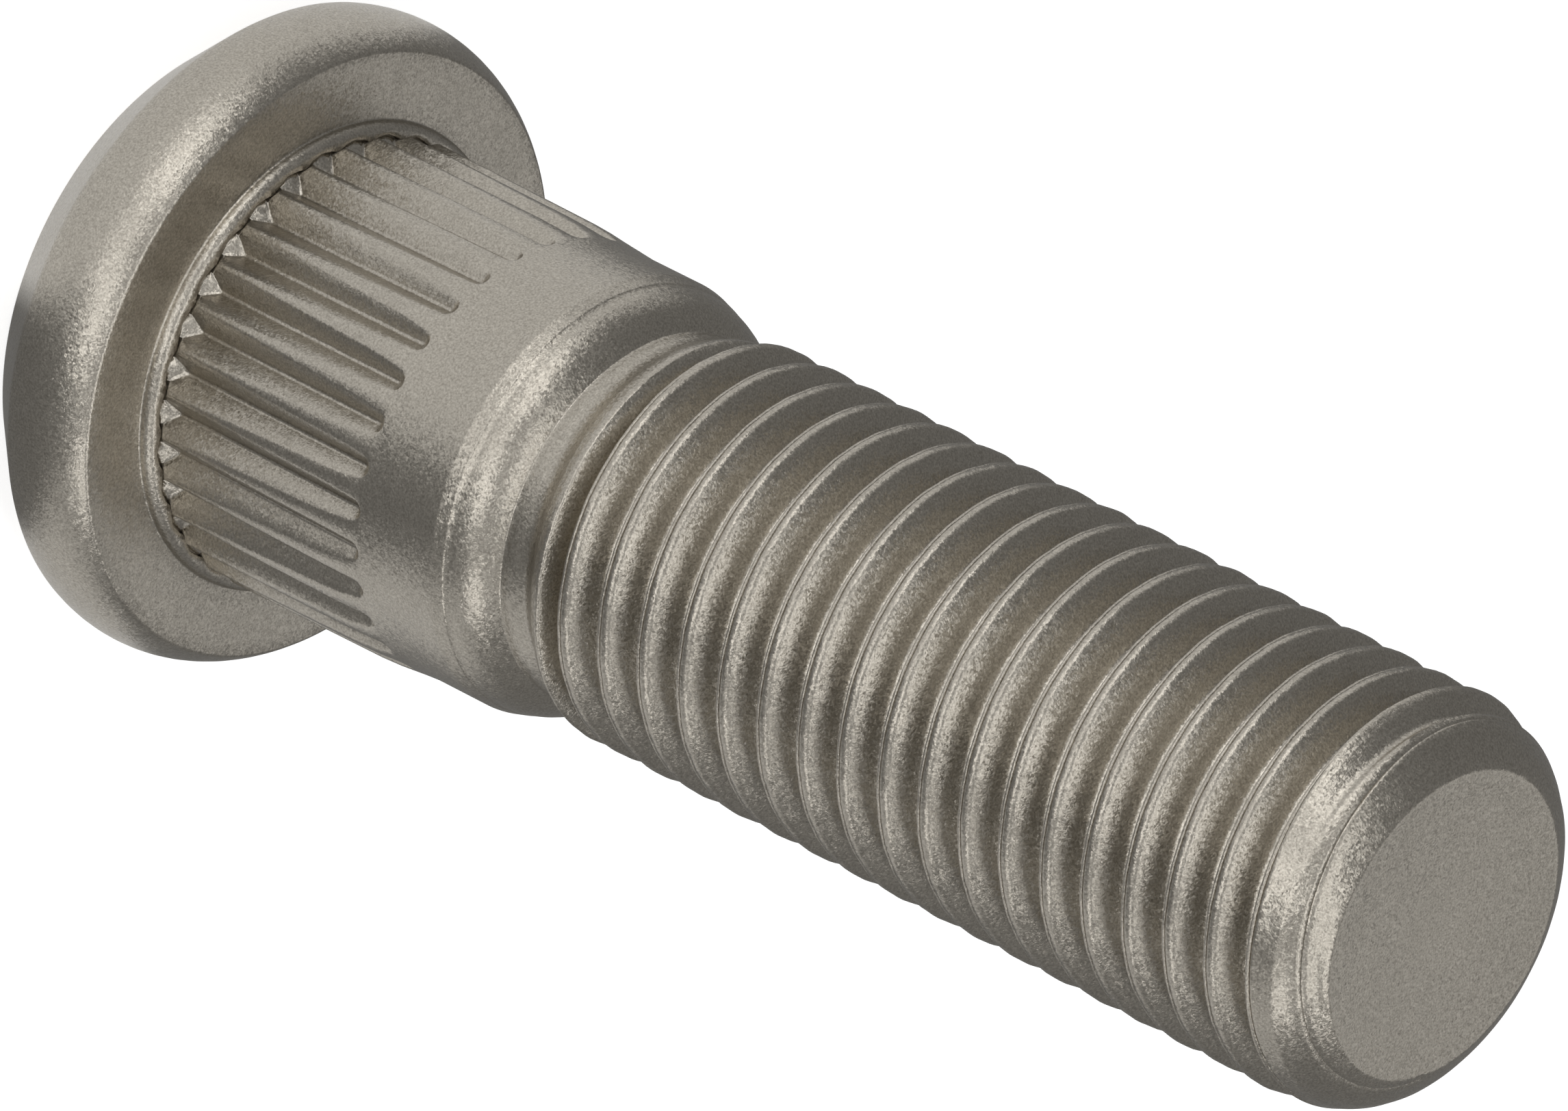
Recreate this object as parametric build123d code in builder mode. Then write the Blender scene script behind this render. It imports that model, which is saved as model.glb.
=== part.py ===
# Press-in wheel stud: round head, splined shank, plain land, shoulder and threaded shank.
# Frame: the stud stands on its head, +Z runs up its axis to the tip, and z = 0 is the head's outer face.
import os
from math import radians, tan

from build123d import *

# Head, in millimetres: its rim bulges between the chamfer and the bearing face
head_thickness = 4.6
head_edge_radius = 9.43
head_chamfer_height = 1.96
head_chamfer_width = 1.7
head_chamfer_fillet = 0.4
rim_arc_radius = 2.71
bearing_face_radius = 8.97

# Collar: a sloped ring around the root of the splines, then a cone down into the grooves
collar_radius = 6.95
collar_top_radius = 6.5
collar_rise = 0.24
collar_cone_angle = 45.0

# Spline teeth: they taper a little towards the tip, then a ramp leads down to the plain land
spline_count = 32
spline_root_radius = 6.7
spline_end_radius = 6.62
spline_length = 6.84
ramp_length = 1.8
land_radius = 6.46
land_length = 2.12

# Rolled groove between two teeth: deeper and wider at the head, with a rounded end on the ramp
groove_length = 8.06
groove_head_depth = 0.55
groove_tip_depth = 0.19
groove_half_angle = 47.0
groove_floor_width = 0.08
groove_overcut = 0.3

# Shoulder between the land and the neck: a narrow bevel, then a rounded slope
bevel_drop = 0.11
bevel_length = 0.36
shoulder_length = 1.33
shoulder_bulge = 0.17

# Neck, run-out cone and threaded shank of size M12 x 1.5, here its envelope at the crests
neck_radius = 5.4
neck_length = 1.2
run_out_length = 1.0
thread_radius = 6.0
shank_length = 42.33

# Tip: the last turn tapers, then a chamfer leads to a shallow dished end
last_turn_length = 1.2
last_turn_radius = 5.75
tip_chamfer_length = 0.7
tip_face_radius = 4.46
tip_dish_depth = 0.2

# Heights along the axis
bearing_height = head_thickness
collar_top_height = bearing_height + collar_rise
ramp_height = bearing_height + spline_length
land_height = ramp_height + ramp_length
bevel_height = land_height + land_length
shoulder_height = bevel_height + bevel_length
neck_height = shoulder_height + shoulder_length
run_out_height = neck_height + neck_length
thread_height = run_out_height + run_out_length
tip_height = bearing_height + shank_length
tip_chamfer_height = tip_height - tip_chamfer_length
last_turn_height = tip_chamfer_height - last_turn_length

# The rounded slope's middle point stands out from the middle of its chord
shoulder_radius = land_radius - bevel_drop
shoulder_drop = shoulder_radius - neck_radius
chord_middle = Vector((shoulder_radius + neck_radius) / 2, (shoulder_height + neck_height) / 2)
slope_middle = chord_middle + Vector(shoulder_length, shoulder_drop).normalized() * shoulder_bulge

# A groove is cut from the bearing face to its rounded end, out past the teeth and the land
cut_radius = max(spline_root_radius, spline_end_radius, land_radius) + groove_overcut
groove_slope = tan(radians(groove_half_angle))
groove_half_floor = groove_floor_width / 2
head_floor_radius = spline_root_radius - groove_head_depth
tip_floor_radius = land_radius - groove_tip_depth
groove_end_radius = groove_half_floor + groove_tip_depth * groove_slope
groove_end_height = bearing_height + groove_length - groove_end_radius

# The collar's cone goes on below its own top and the floors of the grooves
collar_core_radius = min(collar_top_radius, head_floor_radius, tip_floor_radius) - groove_overcut
cone_height = (collar_top_radius - collar_core_radius) / tan(radians(collar_cone_angle))


# Half of the groove's width where its cut leaves the teeth
def half_width(floor_radius):
    return groove_half_floor + (cut_radius - floor_radius) * groove_slope


with BuildPart() as groove_cutter:
    for height, floor_radius in ((bearing_height, head_floor_radius), (groove_end_height, tip_floor_radius)):
        with BuildSketch(Plane.XY.offset(height)):
            with BuildLine():
                Polyline(
                    (floor_radius, -groove_half_floor),
                    (cut_radius, -half_width(floor_radius)),
                    (cut_radius, half_width(floor_radius)),
                    (floor_radius, groove_half_floor),
                    close=True,
                )
            make_face()
    loft(ruled=True)
    with BuildSketch(Plane.XZ):
        with BuildLine():
            Polyline(
                (tip_floor_radius, groove_end_height),
                (cut_radius, groove_end_height),
                (cut_radius, groove_end_height + half_width(tip_floor_radius)),
                (tip_floor_radius, groove_end_height + groove_half_floor),
                close=True,
            )
        make_face()
    revolve(axis=Axis((0, 0, groove_end_height), (1, 0, 0)))

with BuildPart() as wheel_stud:
    with BuildSketch(Plane.XZ):
        with BuildLine():
            foot = Line((0, 0), (head_edge_radius - head_chamfer_width, 0))
            chamfer = Line(foot @ 1, (head_edge_radius, head_chamfer_height))
            rim = RadiusArc(chamfer @ 1, (bearing_face_radius, bearing_height), -rim_arc_radius)
            land = Polyline(
                rim @ 1,
                (spline_root_radius, bearing_height),
                (spline_end_radius, ramp_height),
                (land_radius, land_height),
                (land_radius, bevel_height),
                (shoulder_radius, shoulder_height),
            )
            slope = ThreePointArc(land @ 1, slope_middle, (neck_radius, neck_height))
            shank = Polyline(
                slope @ 1,
                (neck_radius, run_out_height),
                (thread_radius, thread_height),
                (thread_radius, last_turn_height),
                (last_turn_radius, tip_chamfer_height),
                (tip_face_radius, tip_height),
            )
            dish = TangentArc((0, tip_height - tip_dish_depth), shank @ 1, tangent=(1, 0))
            Line(dish @ 0, (0, 0))
        make_face()
    revolve(axis=Axis.Z)

    # The two corners of the head's chamfer
    fillet(wheel_stud.edges().filter_by(GeomType.CIRCLE).sort_by(Axis.Z)[:2], head_chamfer_fillet)

    with PolarLocations(0, spline_count):
        add(groove_cutter.part, mode=Mode.SUBTRACT)

    with BuildSketch(Plane.XZ):
        with BuildLine():
            Polyline(
                (collar_core_radius, bearing_height),
                (collar_radius, bearing_height),
                (collar_top_radius, collar_top_height),
                (collar_core_radius, collar_top_height + cone_height),
                close=True,
            )
        make_face()
    revolve(axis=Axis.Z)

wheel_stud.part.label = "wheel_stud"
os.makedirs("parts", exist_ok=True)
export_step(wheel_stud.part, "parts/wheel_stud.step")
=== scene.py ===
import math

import bpy
import numpy as np
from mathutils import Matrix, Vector


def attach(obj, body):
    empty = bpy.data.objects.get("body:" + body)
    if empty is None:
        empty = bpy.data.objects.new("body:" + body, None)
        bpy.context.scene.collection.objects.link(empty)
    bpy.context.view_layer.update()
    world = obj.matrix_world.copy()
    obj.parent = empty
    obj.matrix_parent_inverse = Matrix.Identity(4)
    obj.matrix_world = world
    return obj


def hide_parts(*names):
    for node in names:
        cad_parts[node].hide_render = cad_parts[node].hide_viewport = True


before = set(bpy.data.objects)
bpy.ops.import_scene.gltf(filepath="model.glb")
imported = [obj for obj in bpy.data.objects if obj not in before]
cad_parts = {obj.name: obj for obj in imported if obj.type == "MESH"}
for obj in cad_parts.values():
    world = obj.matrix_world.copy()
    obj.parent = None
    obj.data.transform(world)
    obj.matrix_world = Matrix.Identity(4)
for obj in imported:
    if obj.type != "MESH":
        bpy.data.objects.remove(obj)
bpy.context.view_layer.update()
mm = 0.001
mergeDistance = 0.002 * mm
smoothAngle = math.radians(60)


# The value at one place, or at many, of a curve given by a few (place, value) points
def table(points, value):
    places, values = zip(*points)
    return np.interp(value, places, values)


# Goes smoothly from 0 at the low value to 1 at the high one
def smooth(low, high, value):
    t = np.clip((value - low) / (high - low), 0.0, 1.0)
    return t * t * (3 - 2 * t)


def between(start, end, part):
    return tuple(a + (b - a) * part for a, b in zip(start, end))


def arc(centre, radius, first, last, count):
    turns = [math.radians(first + (last - first) * i / (count - 1)) for i in range(count)]
    return [(centre[0] + radius * math.cos(t), centre[1] + radius * math.sin(t)) for t in turns]


# A curve that leaves the start towards the turn and reaches the end from there
def bend(start, turn, end, count):
    parts = [i / (count - 1) for i in range(count)]
    return [between(between(start, turn, t), between(turn, end, t), t) for t in parts]


# One turned and splined sector, from the head's outer face to the neck, copied round the axis.
# Sizes are in mm. Outlines are (radius, height) points, and a row holds (angle, radius, height).
# Heights from the bead on are measured from the bearing face.
splined = {
    "grooves": 32,
    "columns": 12,
    "bearing": 4.6,
    "faceRows": (0.0, 2.5, 5.0, 7.0, 7.5),
    "headFace": 7.73,
    "headFillet": 0.19,
    "filletRows": 5,
    "headEdge": (9.43, 1.96),
    "edgeFillet": 0.12,
    "edgeRows": 3,
    "chamferRow": 1.2,
    "rimCentre": (6.88, 2.876),
    "rimRadius": 2.702,
    "rimAngles": (-18.15, 38.0),
    "rimRows": 13,
    "bearingEdge": 8.97,
    "bearingRows": (8.91, 8.4, 7.7, 7.0),
    "beadFoot": (6.975, 0.006),
    "beadCentre": (6.60, 0.07),
    "beadRadius": 0.36,
    "beadAngles": (-8, 62),
    "beadRows": 7,
    "creaseRadius": 6.45,
    "creaseHeight": 0.36,
    "creaseSteps": ((0.0855, 0.06), (0.0495, 0.045), (0.016, -0.05), (0.0, -0.05)),
    "scallop": 0.14,
    "scallopDrop": 0.2,
    "coneHeight": 0.3,
    "coneDrop": 1.0,
    "coneParts": (0.12, 0.5, 0.94),
    "noseSlope": 0.9,
    "noseGap": 0.03,
    "noseEnd": 1.1,
    "noseParts": (0.0, 0.12, 0.35, 0.7, 1.0),
    "crests": ((0.0, 6.7), (6.6, 6.625), (7.2, 6.595), (8.2, 6.5), (8.75, 6.46), (20.0, 6.46)),
    "floors": ((0.0, 6.15), (7.76, 6.27), (20.0, 6.27)),
    "halfAngle": 47.0,
    "halfFloor": 0.04,
    "leastHalf": 0.16,
    "soften": 0.035,
    "waistShare": 0.72,
    "waistGaps": (0.05, 0.06),
    "crestGap": 0.012,
    "longRows": (1.6, 2.2, 2.8, 3.4, 4.0, 4.6, 5.2, 5.8, 6.3, 6.6, 6.9, 7.2, 7.4, 7.6, 7.7),
    "grooveEnd": 7.763,
    "endAngles": (0, 14, 28, 42, 55, 66, 76, 84),
    "beyondEnd": (1.03, 1.15),
    "landRows": ((6.46, 8.75), (6.46, 9.7)),
    "landCorner": ((6.46, 10.72), (6.46, 10.745), (6.448, 10.77), 3),
    "bevelCorner": ((6.362, 11.09), (6.354, 11.122), (6.32, 11.16), 4),
    "shoulder": ((6.32, 11.16), (6.18, 11.98), (5.475, 12.42), 10),
    "neckCorner": ((5.475, 12.42), (5.437, 12.446), (5.432, 12.48), 4),
}
grooveSpread = math.tan(math.radians(splined["halfAngle"]))


def evenRow(radius, height):
    step = 360.0 / splined["grooves"] / splined["columns"]
    half = splined["columns"] / 2
    return [(math.radians((i - half) * step), radius, height) for i in range(splined["columns"] + 1)]


def headOutline():
    s = splined
    flat, edge, face = Vector((s["headFace"], 0.0)), Vector(s["headEdge"]), s["bearing"]
    chamfer = (edge - flat).normalized()
    rim = arc(s["rimCentre"], s["rimRadius"], *s["rimAngles"], s["rimRows"])
    points = [(r, 0.0) for r in s["faceRows"]]
    inward = flat - Vector((s["headFillet"], 0.0))
    points += bend(inward, flat, flat + chamfer * s["headFillet"], s["filletRows"])
    points.append(edge - chamfer * s["chamferRow"])
    points += bend(edge - chamfer * s["edgeFillet"], edge, rim[0], s["edgeRows"])[:-1]
    points += rim
    points += bend(rim[-1], (s["bearingEdge"], face), (s["bearingRows"][0], face), s["edgeRows"])[1:]
    points += [(r, face) for r in s["bearingRows"][1:]]
    return points


def shoulderOutline():
    s = splined
    land = list(s["landRows"]) + bend(*s["landCorner"])
    slope = bend(*s["bevelCorner"]) + bend(*s["shoulder"])[1:]
    return land + slope + bend(*s["neckCorner"])[1:]


# The radius of the groove's wall at a distance from its middle, and round its end past grooveEnd
def grooveWall(y, height):
    past = max(height - splined["grooveEnd"], 0.0)
    away = max(math.hypot(y, past) - splined["halfFloor"], 0.0)
    return table(splined["floors"], height) + away / grooveSpread


# How far each column stands from the groove's middle, measured along the crest
def grooveOffsets(height):
    s = splined
    crest, floor = table(s["crests"], height), table(s["floors"], height)
    past = max(height - s["grooveEnd"], 0.0)
    low = s["halfFloor"]
    half = low + (crest - floor) * grooveSpread
    half = max(math.sqrt(max(half * half - past * past, 0.0)), s["leastHalf"])
    middle = math.pi / s["grooves"] * crest
    waist = low + min(s["creaseRadius"] - floor, s["waistShare"] * (crest - floor)) * grooveSpread
    waist = min(max(waist, low + s["waistGaps"][0]), half - s["waistGaps"][1])
    top = min(half + s["soften"], middle - s["crestGap"])
    side = [low, low + s["soften"], waist, half - s["soften"], top]
    return [-middle] + [-y for y in reversed(side)] + [0.0] + side + [middle]


def splinePoint(y, height):
    crest = table(splined["crests"], height)
    return y / crest, min(grooveWall(y, height), crest), height


def beadRows():
    s = splined
    bead = arc(s["beadCentre"], s["beadRadius"], *s["beadAngles"], s["beadRows"])
    return [evenRow(*s["beadFoot"])] + [evenRow(r, h) for r, h in bead]


# Where the columns leave the bead's crease, and where they meet the splines. The crease is scalloped:
# it stands further out in the middle of a groove than between two grooves.
def creaseAndMeeting(offsets):
    s = splined
    crest = table(s["crests"], s["coneHeight"])
    half = offsets[-3]
    crease, meeting = [], []
    for y in offsets:
        out = s["scallop"] * max(0.0, 1 - (y / half) ** 2)
        radius, height = s["creaseRadius"] + out, s["creaseHeight"] - out * s["scallopDrop"]
        rise = min(grooveWall(y, s["coneHeight"]), crest) - radius
        slope = s["noseSlope"] if rise > 0 else -s["coneDrop"]
        crease.append((y / crest, radius, height))
        meeting.append((y / crest, radius + rise, height + rise / slope))
    return crease, meeting


# The crease itself, then the cone that runs into each groove and up to each tooth's pointed nose
def coneRows(crease, meeting):
    s = splined
    rows = [[(a, r + away, h + up) for a, r, h in crease] for away, up in s["creaseSteps"]]
    for part in s["coneParts"]:
        rows.append([between(low, high, part) for low, high in zip(crease, meeting)])
    return rows


# The rows that turn, step by step, from where the columns meet the splines into level ones
def noseRows(offsets, meeting):
    s = splined
    rows = []
    for part in s["noseParts"]:
        row = []
        for column, (y, (angle, radius, met)) in enumerate(zip(offsets, meeting)):
            start = met + s["noseGap"]
            height = start + (s["noseEnd"] - start) * part
            side = y + (grooveOffsets(height)[column] - y) * part
            row.append(splinePoint(side, height))
        rows.append(row)
    return rows


def grooveRows():
    s = splined
    end = s["grooveEnd"]
    reach = s["halfFloor"] + (table(s["crests"], end) - table(s["floors"], end)) * grooveSpread
    heights = list(s["longRows"])
    heights += [end + reach * math.sin(math.radians(turn)) for turn in s["endAngles"]]
    heights += [end + reach * part for part in s["beyondEnd"]]
    return [[splinePoint(y, h) for y in grooveOffsets(h)] for h in heights]


def sectorRows():
    offsets = grooveOffsets(splined["coneHeight"])
    crease, meeting = creaseAndMeeting(offsets)
    raised = beadRows() + coneRows(crease, meeting) + noseRows(offsets, meeting) + grooveRows()
    raised += [evenRow(r, h) for r, h in shoulderOutline()]
    rows = [evenRow(r, h) for r, h in headOutline()]
    return rows + [[(a, r, h + splined["bearing"]) for a, r, h in row] for row in raised]


# Blender's own tools take it from here: a grid bent to the rows, then copied round by an empty
def buildSplined():
    rows = sectorRows()
    columns = splined["columns"]
    bpy.ops.mesh.primitive_grid_add(x_subdivisions=columns, y_subdivisions=len(rows) - 1, size=0.01)
    obj = bpy.context.object
    obj.name = "splinedPart"
    places = [(r * math.cos(a) * mm, r * math.sin(a) * mm, h * mm) for row in rows for a, r, h in row]
    if len(obj.data.vertices) != len(places):
        raise SystemExit("the sector's grid has another number of vertices")
    obj.data.vertices.foreach_set("co", np.array(places).ravel())
    turner = bpy.data.objects.new("turner", None)
    bpy.context.scene.collection.objects.link(turner)
    turner.rotation_euler[2] = 2 * math.pi / splined["grooves"]
    bpy.context.view_layer.update()
    copies = obj.modifiers.new("copies", "ARRAY")
    copies.use_relative_offset = False
    copies.use_object_offset = True
    copies.offset_object = turner
    copies.count = splined["grooves"]
    bpy.ops.object.modifier_apply(modifier=copies.name)
    bpy.data.objects.remove(turner)
    mergeDoubles()
    return obj


def mergeDoubles():
    bpy.ops.object.mode_set(mode="EDIT")
    bpy.ops.mesh.select_all(action="SELECT")
    bpy.ops.mesh.remove_doubles(threshold=mergeDistance)
    bpy.ops.object.mode_set(mode="OBJECT")


# The rolled thread: the line of one turn's profile, screwed up the shank, then faded at both ends.
# Sizes are in mm. Heights are measured from the lead's zero height, and in the profile from its seam.
# The lip, crest and root are arcs: centre, radius, first and last angle, and number of points.
threaded = {
    "zero": 18.339,
    "pitch": 1.5,
    "steps": 160,
    "turns": 22,
    "firstFold": 1.132,
    "turnsBelow": 3,
    "lip": ((-0.056, 5.932), 0.055, 150, 35, 4),
    "seam": ((0.0, 5.915), (0.014, 5.955)),
    "crest": ((0.083, 5.748), 0.25, 95, 30, 5),
    "root": ((0.825, 5.255), 0.15, 210, 330, 5),
    "outerFlank": 0.76,
    "innerFlank": (0.215, 0.555),
    "blank": 5.43,
    "crestFade": (-1.0, 0.4),
    "rootFade": (-1.2, 0.6),
    "start": -1.15,
    "end": 28.5,
    "fadeAngle": math.radians(48),
    "lastGroove": 17,
    "grooveFade": (-0.42, 0.05),
    "seamFade": (0.6, 1.6),
    "seamAngle": math.radians(108),
    "seamSpread": (-0.35, 0.5),
    "seamClosed": 0.2,
    "unevenness": 0.03,
    "waves": ((9, 2.3), (23, -1.7), (41, 5.1)),
    "unevenFrom": (5.5, 5.9),
    "capBlend": 0.08,
    "cap": (
        (26.3, 6.25),
        (26.7, 6.05),
        (26.9, 5.93),
        (27.2, 5.81),
        (27.6, 5.66),
        (27.98, 5.40),
        (28.25, 5.08),
        (28.45, 4.74),
        (28.60, 4.44),
    ),
    "shift": (
        (-1.3, 0.0),
        (-0.8, 0.08),
        (-0.35, 0.21),
        (-0.17, 0.30),
        (0.04, 0.37),
        (0.3, 0.31),
        (0.7, 0.1),
        (1.05, 0.0),
        (26.9, 0.0),
        (27.6, -0.12),
        (28.1, -0.33),
        (40.0, -0.35),
    ),
    "faceCorner": ((4.50, 28.57), (4.46, 28.59), (4.42, 28.59), 3),
    "dishRadii": (4.3, 4.0, 3.3, 2.4, 1.4, 0.6),
    "dishDepth": 0.2,
    "dishPower": 1.6,
}


# From the middle of one flank to the same place a pitch further up, as (height, radius)
def threadProfile():
    s = threaded
    lip, crest, root = arc(*s["lip"]), arc(*s["crest"]), arc(*s["root"])
    nextLip = (lip[0][0] + s["pitch"], lip[0][1])
    outer = between(crest[-1], root[0], s["outerFlank"])
    inner = [between(root[-1], nextLip, part) for part in s["innerFlank"]]
    first = (inner[-1][0] - s["pitch"], inner[-1][1])
    return [first] + lip + list(s["seam"]) + crest + [outer] + root + inner


# A grid one face wide, of which one side is deleted, leaves a line of vertices for the profile
def profileLine(profile):
    count = len(profile)
    bpy.ops.object.select_all(action="DESELECT")
    bpy.ops.mesh.primitive_grid_add(x_subdivisions=count - 1, y_subdivisions=1, size=0.01)
    obj = bpy.context.object
    bpy.ops.object.mode_set(mode="EDIT")
    bpy.ops.mesh.select_mode(type="VERT")
    bpy.ops.mesh.select_all(action="DESELECT")
    bpy.ops.object.mode_set(mode="OBJECT")
    for vertex in obj.data.vertices:
        vertex.select = vertex.index >= count
    bpy.ops.object.mode_set(mode="EDIT")
    bpy.ops.mesh.delete(type="VERT")
    bpy.ops.object.mode_set(mode="OBJECT")
    if len(obj.data.vertices) != count:
        raise SystemExit("the thread's profile has another number of vertices")
    first = threaded["firstFold"] - threaded["turnsBelow"] * threaded["pitch"]
    for vertex, (height, radius) in zip(obj.data.vertices, profile):
        vertex.co = (radius * mm, 0.0, (first + height) * mm)
    return obj


def buildThread():
    obj = profileLine(threadProfile())
    obj.name = "threadedPart"
    turned = obj.modifiers.new("turned", "SCREW")
    turned.axis = "Z"
    turned.angle = 2 * math.pi
    turned.screw_offset = threaded["pitch"] * mm
    turned.iterations = threaded["turns"]
    turned.steps = turned.render_steps = threaded["steps"]
    bpy.ops.object.modifier_apply(modifier=turned.name)
    mergeDoubles()
    return obj


# How deep the seam between the folded lip and the crest lies below the line that would close it
def seamDepth(phase, radius):
    low, high = arc(*threaded["lip"])[2], arc(*threaded["crest"])[0]
    closed = np.interp(phase, (low[0], high[0]), (low[1], high[1]))
    inside = (phase > low[0]) & (phase < high[0])
    return np.where(inside, np.maximum(closed - radius, 0.0), 0.0)


# The seam is open on one side of the stud, nearly closed on the other and starts with the thread
def seamShare(angle, height):
    s = threaded
    opened = smooth(*s["seamSpread"], np.cos(angle - s["seamAngle"]))
    return smooth(*s["seamFade"], height) * (s["seamClosed"] + (1 - s["seamClosed"]) * opened)


# The thread rises out of the plain blank over its first turn
def fadedIn(radius, height):
    s = threaded
    share = np.where(radius > s["blank"], smooth(*s["crestFade"], height), smooth(*s["rootFade"], height))
    return s["blank"] + (radius - s["blank"]) * share


def unevenCrest(radius, angle, height):
    s = threaded
    waves = sum(np.sin(count * angle + climb * height) for count, climb in s["waves"])
    most = len(s["waves"])
    return radius - s["unevenness"] * (most + waves) / (2 * most) * smooth(*s["unevenFrom"], radius)


# The smaller of two radii, rounded where they meet
def softSmaller(first, second, blend):
    mix = np.clip(0.5 + 0.5 * (second - first) / blend, 0, 1)
    return second * (1 - mix) + first * mix - blend * mix * (1 - mix)


# 1 where the last groove has run out, 0 in the whole thread
def grooveFilled(lead, angle):
    s = threaded
    groove = np.floor(lead) + (angle - s["fadeAngle"]) / (2 * math.pi)
    return smooth(s["lastGroove"] + s["grooveFade"][0], s["lastGroove"] + s["grooveFade"][1], groove)


def shapeThread(obj):
    s = threaded
    vertices = obj.data.vertices
    places = np.zeros(len(vertices) * 3)
    vertices.foreach_get("co", places)
    x, y, height = (places.reshape(-1, 3) / mm).T
    angle, radius = np.arctan2(y, x), np.hypot(x, y)
    lead = (height - s["firstFold"]) / s["pitch"] - angle / (2 * math.pi)
    seam = seamDepth((lead - np.round(lead)) * s["pitch"], radius)
    plain = unevenCrest(fadedIn(radius + seam, height), angle, height)
    seam = seam * seamShare(angle, height)
    shifted = height + table(s["shift"], height)
    cap = table(s["cap"], shifted)
    plain = softSmaller(plain, cap, s["capBlend"])
    radius = plain + (cap - plain) * grooveFilled(lead, angle) - seam
    out = np.stack([radius * np.cos(angle), radius * np.sin(angle), shifted + s["zero"]], 1) * mm
    vertices.foreach_set("co", out.ravel())
    obj.data.update()


def cutAt(height, above):
    bpy.ops.object.mode_set(mode="EDIT")
    bpy.ops.mesh.select_all(action="SELECT")
    bpy.ops.mesh.bisect(
        plane_co=(0, 0, (threaded["zero"] + height) * mm),
        plane_no=(0, 0, 1),
        clear_inner=not above,
        clear_outer=above,
        threshold=1e-7,
    )
    bpy.ops.object.mode_set(mode="OBJECT")


# The rings of the end face: its rounded edge, then the shallow dish
def tipRings():
    s = threaded
    corner = bend(*s["faceCorner"])
    edge, top = corner[-1]
    rings = list(corner)
    for radius in s["dishRadii"]:
        drop = s["dishDepth"] * (1 - (radius / edge) ** s["dishPower"])
        rings.append((radius, top - drop))
    return rings


# The cut's edge is still selected, and each ring is drawn out of the one before
def closeTip():
    bpy.ops.object.mode_set(mode="EDIT")
    height = threaded["end"]
    radius = table(threaded["cap"], height)
    for nextRadius, nextHeight in tipRings():
        bpy.ops.mesh.extrude_region_move(
            TRANSFORM_OT_translate={"value": (0, 0, (nextHeight - height) * mm)}
        )
        part = nextRadius / radius
        bpy.ops.transform.resize(value=(part, part, 1), center_override=(0, 0, 0))
        radius, height = nextRadius, nextHeight
    bpy.ops.mesh.extrude_region_move()
    bpy.ops.mesh.merge(type="CENTER")
    bpy.ops.object.mode_set(mode="OBJECT")


# One closed mesh: the neck's two open edges are bridged
def joinParts(stud, thread):
    thread.select_set(True)
    stud.select_set(True)
    bpy.context.view_layer.objects.active = stud
    bpy.ops.object.join()
    stud.name = "studForm"
    bpy.ops.object.mode_set(mode="EDIT")
    bpy.ops.mesh.select_mode(type="VERT")
    bpy.ops.mesh.select_all(action="DESELECT")
    bpy.ops.mesh.select_non_manifold()
    bpy.ops.mesh.bridge_edge_loops()
    bpy.ops.mesh.select_all(action="SELECT")
    bpy.ops.mesh.normals_make_consistent(inside=False)
    bpy.ops.object.mode_set(mode="OBJECT")
    bpy.ops.object.select_all(action="DESELECT")
    stud.select_set(True)
    bpy.ops.object.shade_smooth_by_angle(angle=smoothAngle)


bpy.ops.object.select_all(action="DESELECT")
stud = buildSplined()
print("splined part", len(stud.data.vertices))
thread = buildThread()
shapeThread(thread)
cutAt(threaded["start"], above=False)
cutAt(threaded["end"], above=True)
closeTip()
print("threaded part", len(thread.data.vertices))
joinParts(stud, thread)
print("stud", len(stud.data.vertices), sum(len(p.vertices) - 2 for p in stud.data.polygons))


def node(tree, kind, inputs=None, **settings):
    made = tree.nodes.new(kind)
    for name, value in settings.items():
        setattr(made, name, value)
    for name, value in (inputs or {}).items():
        if isinstance(value, bpy.types.NodeSocket):
            tree.links.new(value, made.inputs[name])
        else:
            made.inputs[name].default_value = value
    return made


def mathNode(tree, operation, first, second):
    return node(tree, "ShaderNodeMath", {0: first, 1: second}, operation=operation).outputs[0]


def vectorNode(tree, operation, *values):
    inputs = dict(enumerate(values))
    return node(tree, "ShaderNodeVectorMath", inputs, operation=operation).outputs["Vector"]


# Warm grey phosphated steel: a fine grain, cloudy roughness and crystals that each lean their own way
steel = {
    "grain": 16000.0,
    "grainDetail": 2.0,
    "cloud": 700.0,
    "cloudDetail": 4.0,
    "noiseRoughness": 0.6,
    "crystals": 14000.0,
    "toneFrom": 0.3,
    "toneTo": 0.7,
    "dark": (0.34, 0.312, 0.268, 1),
    "light": (0.57, 0.533, 0.466, 1),
    "smoothest": 0.28,
    "roughest": 0.38,
    "bump": 0.5,
    "bumpDepth": 0.00002,
    "tilt": 0.17,
}


def noiseTexture(tree, place, scale, detail):
    inputs = {"Vector": place, "Scale": scale, "Detail": detail, "Roughness": steel["noiseRoughness"]}
    return node(tree, "ShaderNodeTexNoise", inputs).outputs["Fac"]


def steelTone(tree, grain):
    ramp = node(tree, "ShaderNodeValToRGB", {"Fac": grain})
    dark, light = ramp.color_ramp.elements
    dark.position, dark.color = steel["toneFrom"], steel["dark"]
    light.position, light.color = steel["toneTo"], steel["light"]
    return ramp.outputs["Color"]


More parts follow.
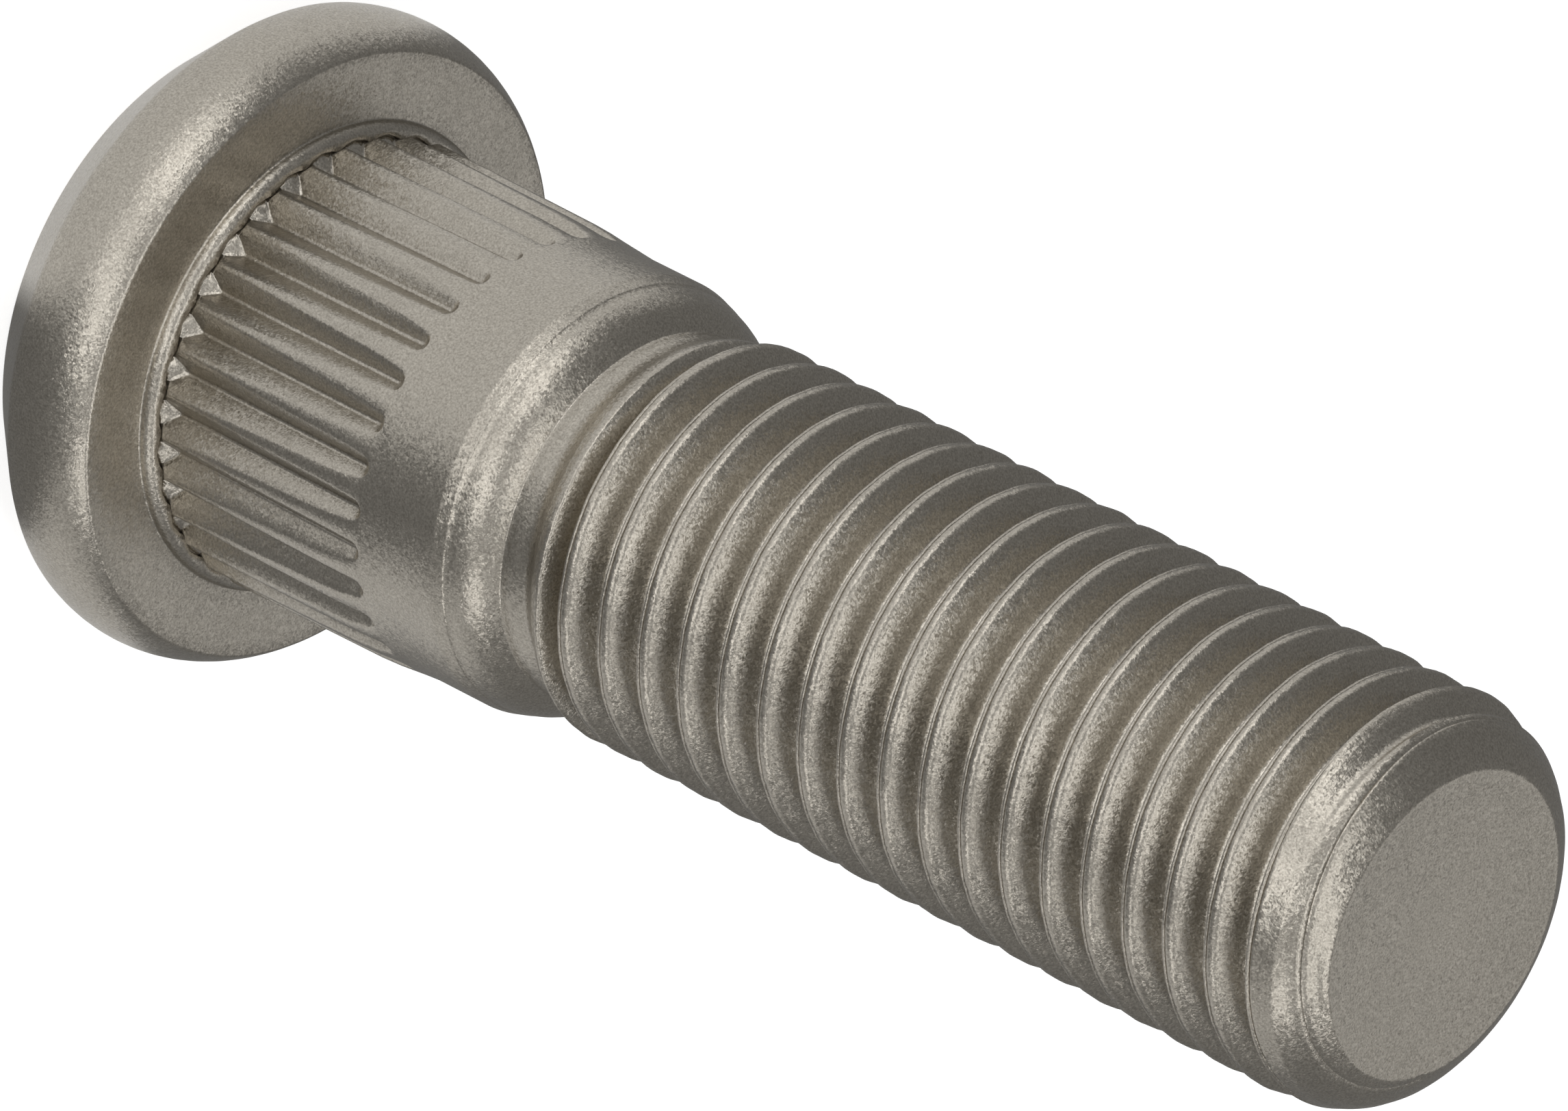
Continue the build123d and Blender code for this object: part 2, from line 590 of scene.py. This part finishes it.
def steelNormal(tree, place, grain):
    crystals = node(tree, "ShaderNodeTexVoronoi", {"Vector": place, "Scale": steel["crystals"]})
    height = {"Height": grain, "Strength": steel["bump"], "Distance": steel["bumpDepth"]}
    bumped = node(tree, "ShaderNodeBump", height).outputs["Normal"]
    lean = vectorNode(tree, "SUBTRACT", crystals.outputs["Color"], (0.5, 0.5, 0.5))
    tilted = vectorNode(tree, "MULTIPLY_ADD", lean, (steel["tilt"],) * 3, bumped)
    return vectorNode(tree, "NORMALIZE", tilted)


def steelMaterial():
    material = bpy.data.materials.new("phosphatedSteel")
    material.use_nodes = True
    tree = material.node_tree
    shader = tree.nodes["Principled BSDF"]
    place = node(tree, "ShaderNodeTexCoord").outputs["Object"]
    grain = noiseTexture(tree, place, steel["grain"], steel["grainDetail"])
    cloud = noiseTexture(tree, place, steel["cloud"], steel["cloudDetail"])
    spread = {"Value": cloud, "To Min": steel["smoothest"], "To Max": steel["roughest"]}
    rough = node(tree, "ShaderNodeMapRange", spread).outputs["Result"]
    tree.links.new(steelTone(tree, grain), shader.inputs["Base Color"])
    tree.links.new(rough, shader.inputs["Roughness"])
    tree.links.new(steelNormal(tree, place, grain), shader.inputs["Normal"])
    shader.inputs["Metallic"].default_value = 1.0
    return material


stud.data.materials.clear()
stud.data.materials.append(steelMaterial())
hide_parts("wheel_stud")
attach(stud, "root")
print("material done")


# The stage: a white floor whose glow in the metal is brighter in front, and a dark card behind the stud.
# Sizes are in metres. A glow is a first and a last angle round the stud, and its brightness, and
# fades over glowEdge, a share of a turn.
stage = {
    "floorSize": 3.0,
    "floorTone": (0.8, 0.8, 0.8, 1),
    "floorRoughness": 0.9,
    "shade": 0.22,
    "white": 0.72,
    "glow": ((-60, 60, 0.80), (120, 160, 0.72)),
    "glowEdge": 0.02,
    "cardTone": (0.02, 0.02, 0.02, 1),
    "cardRadius": 0.030,
    "cardLow": 0.003,
    "cardHigh": 0.042,
    "cardAngles": (150, 306),
    "cardSides": 72,
    "lampSize": 0.32,
    "lampDistance": 0.7,
    "lampHeight": 0.023,
}


def grey(tone):
    return (tone, tone, tone, 1)


# Where an angle round the stud lies in Blender's radial gradient
def turnShare(degrees):
    return (degrees / 360 + 0.5) % 1.0


def floorGlow(tree):
    place = node(tree, "ShaderNodeTexCoord").outputs["Object"]
    around = node(tree, "ShaderNodeTexGradient", {"Vector": place}, gradient_type="RADIAL")
    ramp = node(tree, "ShaderNodeValToRGB", {"Fac": around.outputs["Fac"]})
    stops = ramp.color_ramp.elements
    shade, edge = stage["shade"], stage["glowEdge"]
    for first, last, value in stage["glow"]:
        low, high = turnShare(first), turnShare(last)
        for position, tone in ((low - edge, shade), (low, value), (high, value), (high + edge, shade)):
            stops.new(position).color = grey(tone)
    for end in (0, -1):
        stops[end].color = grey(shade)
    return node(tree, "ShaderNodeEmission", {"Strength": ramp.outputs["Color"]}).outputs[0]


# The camera sees a white floor with the stud's shadow, and the metal sees only its glow
def floorMaterial():
    material = bpy.data.materials.new("paleFloor")
    material.use_nodes = True
    tree = material.node_tree
    shader = tree.nodes["Principled BSDF"]
    shader.inputs["Base Color"].default_value = stage["floorTone"]
    shader.inputs["Roughness"].default_value = stage["floorRoughness"]
    path = node(tree, "ShaderNodeLightPath").outputs
    seen = mathNode(tree, "MULTIPLY", path["Is Camera Ray"], stage["white"])
    pale = node(tree, "ShaderNodeEmission", {"Strength": seen})
    plain = node(tree, "ShaderNodeAddShader", {0: shader.outputs[0], 1: pale.outputs[0]})
    mirror = mathNode(tree, "MAXIMUM", path["Is Glossy Ray"], path["Is Transmission Ray"])
    both = node(tree, "ShaderNodeMixShader", {0: mirror, 1: plain.outputs[0], 2: floorGlow(tree)})
    tree.links.new(both.outputs[0], tree.nodes["Material Output"].inputs["Surface"])
    return material


def cardMaterial():
    material = bpy.data.materials.new("darkCard")
    material.use_nodes = True
    shader = material.node_tree.nodes["Principled BSDF"]
    shader.inputs["Base Color"].default_value = stage["cardTone"]
    shader.inputs["Roughness"].default_value = 1.0
    shader.inputs["Specular IOR Level"].default_value = 0.0
    return material


def addFloor():
    bpy.ops.mesh.primitive_plane_add(size=stage["floorSize"])
    floor = bpy.context.object
    floor.name = "floor"
    floor.data.materials.append(floorMaterial())
    return floor


# An open cylinder, of which only the part behind the stud stays. The camera doesn't see it, but the
# metal mirrors it.
def addCard():
    bpy.ops.mesh.primitive_cylinder_add(
        vertices=stage["cardSides"],
        radius=stage["cardRadius"],
        depth=stage["cardHigh"] - stage["cardLow"],
        end_fill_type="NOTHING",
        location=(0, 0, (stage["cardLow"] + stage["cardHigh"]) / 2),
    )
    card = bpy.context.object
    card.name = "darkCard"
    first, last = stage["cardAngles"]
    for face in card.data.polygons:
        turn = math.degrees(math.atan2(face.center.y, face.center.x)) % 360
        face.select = not first < turn < last
    bpy.ops.object.mode_set(mode="EDIT")
    bpy.ops.mesh.select_mode(type="FACE")
    bpy.ops.mesh.delete(type="FACE")
    bpy.ops.object.mode_set(mode="OBJECT")
    card.data.materials.append(cardMaterial())
    card.visible_camera = False
    card.visible_diffuse = False
    return card


# The world is white to the camera and dim to everything else
def addWorld(scene):
    world = bpy.data.worlds.new("studio")
    scene.world = world
    world.use_nodes = True
    tree = world.node_tree
    dim = tree.nodes["Background"]
    dim.inputs["Color"].default_value = (1, 1, 1, 1)
    dim.inputs["Strength"].default_value = stage["shade"]
    white = node(tree, "ShaderNodeBackground", {"Color": (1, 1, 1, 1), "Strength": 1.0})
    seen = node(tree, "ShaderNodeLightPath").outputs["Is Camera Ray"]
    mixed = node(tree, "ShaderNodeMixShader", {0: seen, 1: dim.outputs[0], 2: white.outputs[0]})
    tree.links.new(mixed.outputs[0], tree.nodes["World Output"].inputs["Surface"])


# Place in metres and turn as fitted to the photo, focal length and width in the photo's pixels, and
# the sensor's width in mm
camera = {
    "place": (0.332977, 0.368750, 0.390155),
    "turn": (0.542897, -0.442131, -0.0826006, -0.7091968),
    "focal": 33265.3,
    "width": 2291,
    "sensor": 36.0,
    "near": 0.05,
    "far": 10.0,
}


def addCamera(scene):
    eye = bpy.data.objects.new("eye", bpy.data.cameras.new("eye"))
    scene.collection.objects.link(eye)
    eye.rotation_mode = "QUATERNION"
    eye.location = camera["place"]
    eye.rotation_quaternion = camera["turn"]
    eye.data.sensor_width = camera["sensor"]
    eye.data.lens = camera["focal"] / camera["width"] * camera["sensor"]
    eye.data.clip_start, eye.data.clip_end = camera["near"], camera["far"]
    scene.camera = eye


# Each lamp's direction from the stud, and its power in watts
lamps = {
    "rightSide": ((0.91, 0.33, 0.26), 0.62),
    "rightLow": ((1.0, 0.0, 0.03), 0.52),
    "frontLow": ((0.60, 0.79, 0.12), 0.40),
    "frontLeft": ((0.28, 0.89, 0.35), 0.63),
    "left": ((-0.52, 0.74, 0.43), 0.55),
    "top": ((0.05, 0.32, 0.95), 0.52),
    "topRight": ((0.45, 0.24, 0.86), 0.40),
    "topLeft": ((-0.44, 0.12, 0.89), 0.55),
    "behind": ((-0.51, -0.61, 0.60), 0.16),
}


def addLamp(scene, name, direction, power):
    light = bpy.data.lights.new(name, "AREA")
    light.shape = "DISK"
    light.size = stage["lampSize"]
    light.energy = power
    lamp = bpy.data.objects.new(name, light)
    scene.collection.objects.link(lamp)
    aim = Vector(direction).normalized()
    lamp.location = aim * stage["lampDistance"] + Vector((0, 0, stage["lampHeight"]))
    lamp.rotation_mode = "QUATERNION"
    lamp.rotation_quaternion = (-aim).to_track_quat("-Z", "Y")


scene = bpy.context.scene
floor = addFloor()
card = addCard()
addWorld(scene)
addCamera(scene)
for name, (direction, power) in lamps.items():
    addLamp(scene, name, direction, power)
scene.view_settings.view_transform = "Standard"
print("stage done")
